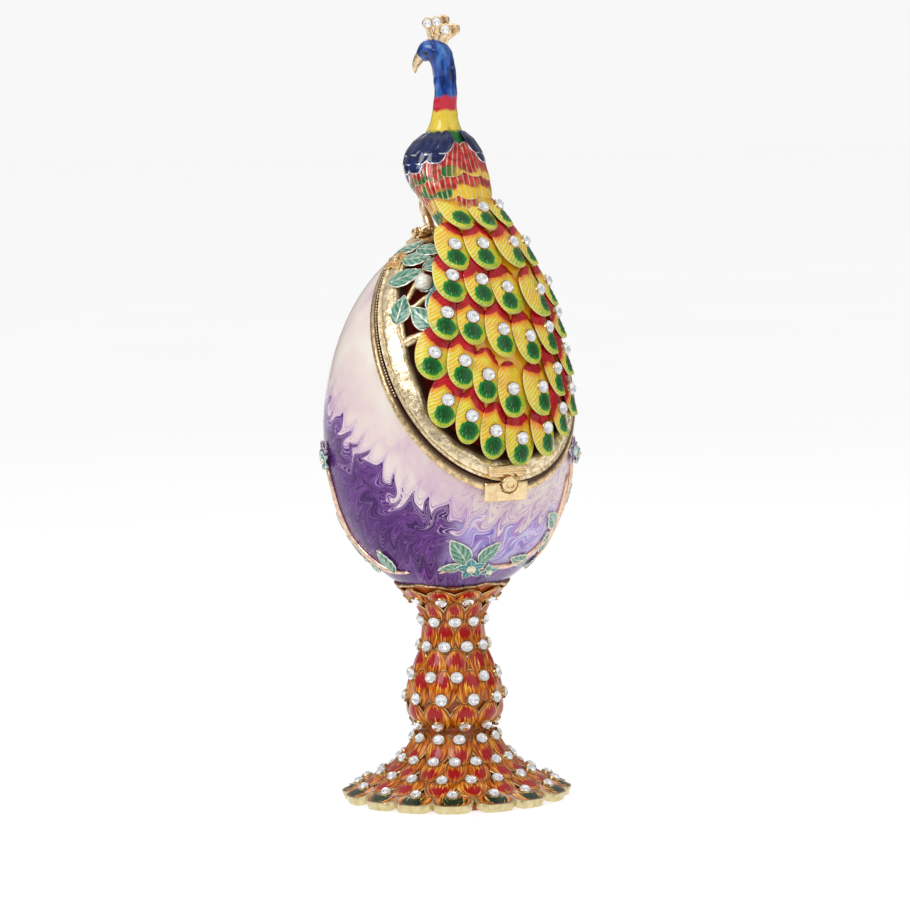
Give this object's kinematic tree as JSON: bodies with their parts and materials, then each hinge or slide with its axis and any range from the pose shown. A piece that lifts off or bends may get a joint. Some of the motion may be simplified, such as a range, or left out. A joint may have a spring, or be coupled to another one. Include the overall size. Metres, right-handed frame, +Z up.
{
  "type": "decorative egg",
  "caption": "Enamelled trinket egg on a petalled foot, with a slanting openwork lid hinged at the top that carries a standing peacock with a jewelled tail.",
  "frame": {"origin": "centre of the foot's flat underside", "axes": "+Z up along the egg's axis, -Y towards the side that the lid and the peacock's tail face, +X to the right when looking at that side"},
  "size_m": [0.0564, 0.0592, 0.175],
  "materials": {
    "foot_enamel": "translucent amber enamel over gilt relief, glossy",
    "egg_enamel": "pearly pink and purple marbled enamel, glossy",
    "gold": "pale gilt, polished",
    "lid_gold": "hammered pale gilt, satin",
    "bird_enamel": "many-coloured translucent enamel, glossy",
    "crystal": "clear faceted, foiled back"
  },
  "bodies": {
    "box": {"foot": "foot_enamel", "egg_shell": "egg_enamel", "catch_plate": "gold", "hinge_leaf_body": "gold", "hinge_pin": "gold"},
    "lid": {"lid_frame": "lid_gold", "hinge_leaf_lid": "gold", "peacock": "bird_enamel", "tail_crystal_01": "crystal", "tail_crystal_02": "crystal", "tail_crystal_03": "crystal", "tail_crystal_04": "crystal", "tail_crystal_05": "crystal", "tail_crystal_06": "crystal", "tail_crystal_07": "crystal", "tail_crystal_08": "crystal", "tail_crystal_09": "crystal", "tail_crystal_10": "crystal", "tail_crystal_11": "crystal", "tail_crystal_12": "crystal", "tail_crystal_13": "crystal", "tail_crystal_14": "crystal", "tail_crystal_15": "crystal", "tail_crystal_16": "crystal", "tail_crystal_17": "crystal", "tail_crystal_18": "crystal", "tail_crystal_19": "crystal", "tail_crystal_20": "crystal", "tail_crystal_21": "crystal", "tail_crystal_22": "crystal", "tail_crystal_23": "crystal", "tail_crystal_24": "crystal", "tail_crystal_25": "crystal", "tail_crystal_26": "crystal", "tail_crystal_27": "crystal", "tail_crystal_28": "crystal", "tail_crystal_29": "crystal", "tail_crystal_30": "crystal", "tail_crystal_31": "crystal", "crest_crystal_1": "crystal", "crest_crystal_2": "crystal", "crest_crystal_3": "crystal", "crest_crystal_4": "crystal", "crest_crystal_5": "crystal"}
  },
  "joints": [
    {"name": "lid_hinge", "type": "hinge", "parent": "box", "child": "lid", "pos_m": [0, 0.00336, 0.12689], "axis": [-1, 0, 0], "range_deg": [0, 90]}
  ]
}
